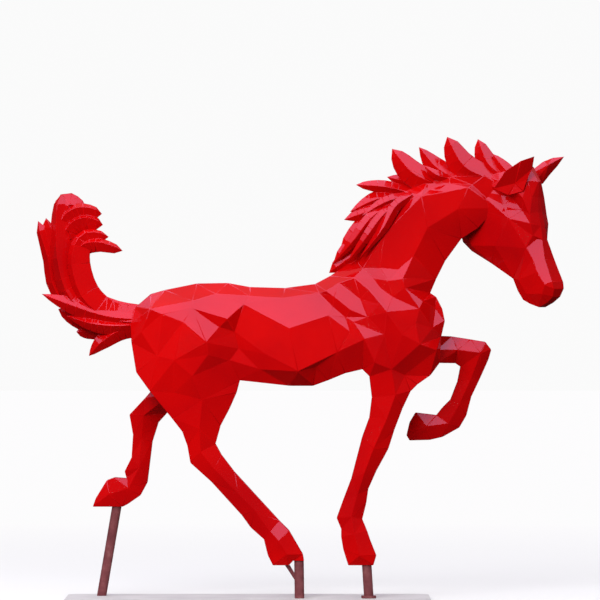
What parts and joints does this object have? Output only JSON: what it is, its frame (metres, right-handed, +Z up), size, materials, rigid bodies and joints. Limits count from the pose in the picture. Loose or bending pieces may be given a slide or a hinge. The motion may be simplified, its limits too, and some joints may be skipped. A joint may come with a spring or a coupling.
{
  "type": "faceted horse statue",
  "caption": "Life-size faceted horse statue in glossy red, trotting with arched neck, pointed mane and curled tail, held on steel rods above a low flat base.",
  "frame": {"origin": "centre of the base plate's flat underside, on the floor", "axes": "+X from the tail to the head, +Z up, -Y the near side that the picture shows"},
  "size_m": [2.2089, 0.56, 1.936],
  "materials": {
    "horse_paint": "glossy red paint on cast glass-fibre resin",
    "rod_paint": "dull dark red paint on steel rod",
    "base_paint": "matt pale grey paint on steel plate"
  },
  "bodies": {
    "root": {"horse": "horse_paint", "near_fore_rod": "rod_paint", "near_hind_rod": "rod_paint", "far_hind_rod": "rod_paint", "base": "base_paint"}
  },
  "joints": []
}
